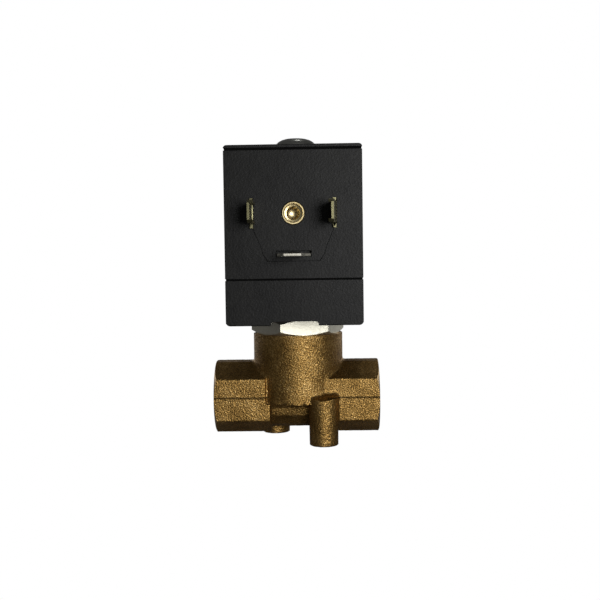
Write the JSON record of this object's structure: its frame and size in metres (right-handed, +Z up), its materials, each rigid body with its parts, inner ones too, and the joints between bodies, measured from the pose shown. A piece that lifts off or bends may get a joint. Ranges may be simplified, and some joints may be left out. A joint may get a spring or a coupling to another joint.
{
  "type": "solenoid valve",
  "caption": "Direct-acting two-way solenoid valve: forged brass body with threaded hexagonal ports, plunger tube and turnable moulded coil with tab terminals.",
  "frame": {"origin": "where the flow axis through both ports crosses the plunger axis", "axes": "+X towards the outlet port, -Y the side the coil's terminals face, +Z up the plunger tube"},
  "size_m": [0.0396, 0.0525, 0.0737],
  "materials": {
    "forged_brass": "forged and shot-blasted, dull",
    "turned_brass": "turned, bright",
    "stainless_steel": "turned",
    "magnetic_steel": "turned, satin",
    "zinc_plated_steel": "zinc plated",
    "black_moulding": "glass-filled moulding, matt",
    "bobbin_nylon": "natural nylon",
    "winding_tape": "polyester film tape",
    "tinned_brass": "tinned, satin",
    "copper": "enamelled copper wire",
    "seal_rubber": "matt elastomer"
  },
  "bodies": {
    "valve": {"valve_body": "forged_brass", "body_o_ring": "seal_rubber", "tube_base": "stainless_steel", "guide_tube": "stainless_steel", "fixed_core": "magnetic_steel", "shading_ring": "copper", "return_spring": "stainless_steel", "coil_bottom_gasket": "seal_rubber", "coil_top_gasket": "seal_rubber", "spring_washer": "zinc_plated_steel", "coil_nut": "stainless_steel"},
    "plunger": {"plunger": "magnetic_steel", "plunger_seal": "seal_rubber"},
    "coil": {"coil_casing": "black_moulding", "coil_base_cover": "black_moulding", "terminal_block": "black_moulding", "bobbin": "bobbin_nylon", "winding": "copper", "winding_tape": "winding_tape", "yoke": "zinc_plated_steel", "terminal_left": "tinned_brass", "terminal_right": "tinned_brass", "earth_terminal": "tinned_brass", "earth_strap": "tinned_brass", "connector_insert": "turned_brass", "lead_left": "copper", "lead_right": "copper"}
  },
  "joints": [
    {"name": "plunger_lift", "type": "slide", "parent": "valve", "child": "plunger", "axis": [0, 0, 1], "range_m": [0, 0.0015], "stiffness_N_per_m": 300, "springref_m": -0.006, "deforming": ["return_spring"]},
    {"name": "coil_swivel", "type": "hinge", "parent": "valve", "child": "coil", "pos_m": [0, 0, 0.01924], "axis": [0, 0, 1], "continuous": true}
  ]
}
